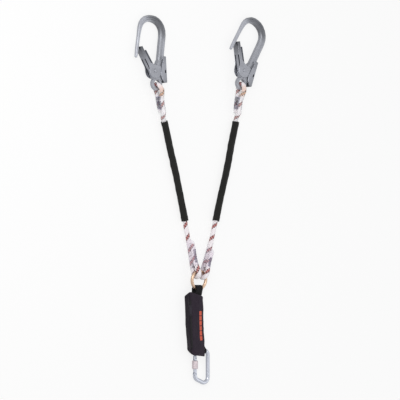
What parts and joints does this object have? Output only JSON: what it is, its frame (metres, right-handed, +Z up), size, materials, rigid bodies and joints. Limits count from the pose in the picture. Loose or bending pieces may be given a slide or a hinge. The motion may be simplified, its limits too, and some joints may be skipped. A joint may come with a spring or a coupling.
{
  "type": "twin shock-absorbing lanyard",
  "caption": "Forked fall-arrest rope lanyard: scaffold hooks on sewn rope legs, joined by a ring to a zipped energy-absorber pouch with a screw carabiner.",
  "frame": {"origin": "middle of the whole lanyard's outline, on the surface that it lies on", "axes": "+Y from the carabiner towards the hooks, +X towards the right leg as it is seen from above, +Z up"},
  "size_m": [0.4626, 0.995, 0.0395],
  "materials": {
    "forged_aluminium": "matt grey anodised forging",
    "pressed_steel": "grey zinc-plated pressed sheet",
    "dark_steel": "dark plated sheet and small fittings",
    "yellow_zinc": "yellow passivated zinc plating",
    "bright_steel": "bright zinc-plated steel",
    "knurled_sleeve": "knurled plated steel",
    "kernmantle_rope": "woven rope sheath, off-white with coloured marker yarns",
    "violet_thread": "dense bar-tack thread",
    "clear_shrink": "clear heat-shrink film",
    "black_textile": "matt woven tubular sleeve",
    "black_webbing": "ribbed woven webbing",
    "pouch_fabric": "coated woven pouch cloth",
    "zip_plastic": "black nylon coil zip",
    "tear_webbing": "undyed tear webbing"
  },
  "bodies": {
    "absorber": {"absorber_pouch": "pouch_fabric", "tear_webbing_pack": "tear_webbing", "top_webbing_loop": "black_webbing", "bottom_webbing_loop": "black_webbing", "zip_chain": "zip_plastic"},
    "ring": {"junction_ring": "yellow_zinc"},
    "carabiner": {"carabiner_body": "bright_steel", "carabiner_hinge_pin": "dark_steel"},
    "carabiner_gate": {"carabiner_gate": "bright_steel", "carabiner_latch_pin": "dark_steel"},
    "screw_sleeve": {"screw_sleeve": "knurled_sleeve"},
    "zip_slider": {"zip_slider": "dark_steel"},
    "zip_pull": {"zip_pull": "dark_steel"},
    "leg_left": {"rope_left": "kernmantle_rope", "protective_sleeve_left": "black_textile", "upper_splice_tube_left": "clear_shrink", "upper_stitch_near_left": "violet_thread", "upper_stitch_far_left": "violet_thread", "lower_splice_tube_left": "clear_shrink", "lower_stitch_near_left": "violet_thread", "lower_stitch_far_left": "violet_thread"},
    "hook_left": {"hook_body_left": "forged_aluminium", "lever_rivet_left": "bright_steel"},
    "gate_left": {"gate_left": "pressed_steel", "latch_plate_left": "dark_steel", "gate_rivet_left": "bright_steel"},
    "lever_left": {"palm_lever_left": "pressed_steel"},
    "leg_right": {"rope_right": "kernmantle_rope", "protective_sleeve_right": "black_textile", "upper_splice_tube_right": "clear_shrink", "upper_stitch_near_right": "violet_thread", "upper_stitch_far_right": "violet_thread", "lower_splice_tube_right": "clear_shrink", "lower_stitch_near_right": "violet_thread", "lower_stitch_far_right": "violet_thread"},
    "hook_right": {"hook_body_right": "forged_aluminium", "lever_rivet_right": "bright_steel"},
    "gate_right": {"gate_right": "pressed_steel", "latch_plate_right": "dark_steel", "gate_rivet_right": "bright_steel"},
    "lever_right": {"palm_lever_right": "pressed_steel"}
  },
  "joints": [
    {"name": "ring_swing", "type": "hinge", "parent": "absorber", "child": "ring", "pos_m": [-0.00773, -0.24033, 0.01619], "axis": [1, 0, 0], "range_deg": [-70, 70]},
    {"name": "leg_left_swing", "type": "hinge", "parent": "ring", "child": "leg_left", "pos_m": [-0.00773, -0.21642, 0.01828], "axis": [0, -0.0872, 0.9962], "range_deg": [-4, 28]},
    {"name": "hook_left_turn", "type": "hinge", "parent": "leg_left", "child": "hook_left", "pos_m": [-0.16073, 0.31237, 0.0202], "axis": [0.0132, 0.0713, 0.9974], "range_deg": [-25, 95]},
    {"name": "gate_left_opening", "type": "hinge", "parent": "hook_left", "child": "gate_left", "pos_m": [-0.1685, 0.34728, 0.01781], "axis": [0.0132, 0.0713, 0.9974], "range_deg": [-45, 0], "stiffness_Nm_per_rad": 0.12, "springref_deg": 28.65},
    {"name": "lever_left_press", "type": "hinge", "parent": "hook_left", "child": "lever_left", "pos_m": [-0.14012, 0.37144, 0.01571], "axis": [0.0132, 0.0713, 0.9974], "range_deg": [-10, 0], "stiffness_Nm_per_rad": 0.2, "springref_deg": 22.92},
    {"name": "leg_right_swing", "type": "hinge", "parent": "ring", "child": "leg_right", "pos_m": [-0.00773, -0.21642, 0.01828], "axis": [0, -0.0872, 0.9962], "range_deg": [-28, 4]},
    {"name": "hook_right_turn", "type": "hinge", "parent": "leg_right", "child": "hook_right", "pos_m": [0.13757, 0.31527, 0.0202], "axis": [0.0408, 0.0599, 0.9974], "range_deg": [-25, 95]},
    {"name": "gate_right_opening", "type": "hinge", "parent": "hook_right", "child": "gate_right", "pos_m": [0.14455, 0.35035, 0.01781], "axis": [0.0408, 0.0599, 0.9974], "range_deg": [-45, 0], "stiffness_Nm_per_rad": 0.12, "springref_deg": 28.65},
    {"name": "lever_right_press", "type": "hinge", "parent": "hook_right", "child": "lever_right", "pos_m": [0.18026, 0.361, 0.01571], "axis": [0.0408, 0.0599, 0.9974], "range_deg": [-10, 0], "stiffness_Nm_per_rad": 0.2, "springref_deg": 22.92},
    {"name": "carabiner_swing", "type": "hinge", "parent": "absorber", "child": "carabiner", "pos_m": [0.00627, -0.40603, 0.0087], "axis": [-1, 0, 0], "range_deg": [-80, 35]},
    {"name": "carabiner_gate_opening", "type": "hinge", "parent": "carabiner", "child": "carabiner_gate", "pos_m": [-0.01473, -0.47003, 0.0087], "axis": [0, 0, -1], "range_deg": [0, 25], "stiffness_Nm_per_rad": 0.06, "springref_deg": -28.65},
    {"name": "screw_sleeve_travel", "type": "slide", "parent": "carabiner_gate", "child": "screw_sleeve", "axis": [0, -1, 0], "range_m": [-0.017, 0]},
    {"name": "zip_slider_travel", "type": "slide", "parent": "absorber", "child": "zip_slider", "axis": [-0.0471, 0.9989, 0], "range_m": [-0.098, 0]},
    {"name": "zip_pull_flip", "type": "hinge", "parent": "zip_slider", "child": "zip_pull", "pos_m": [-0.04823, -0.28764, 0.02977], "axis": [-0.7063, -0.0333, -0.7071], "range_deg": [0, 150]}
  ]
}
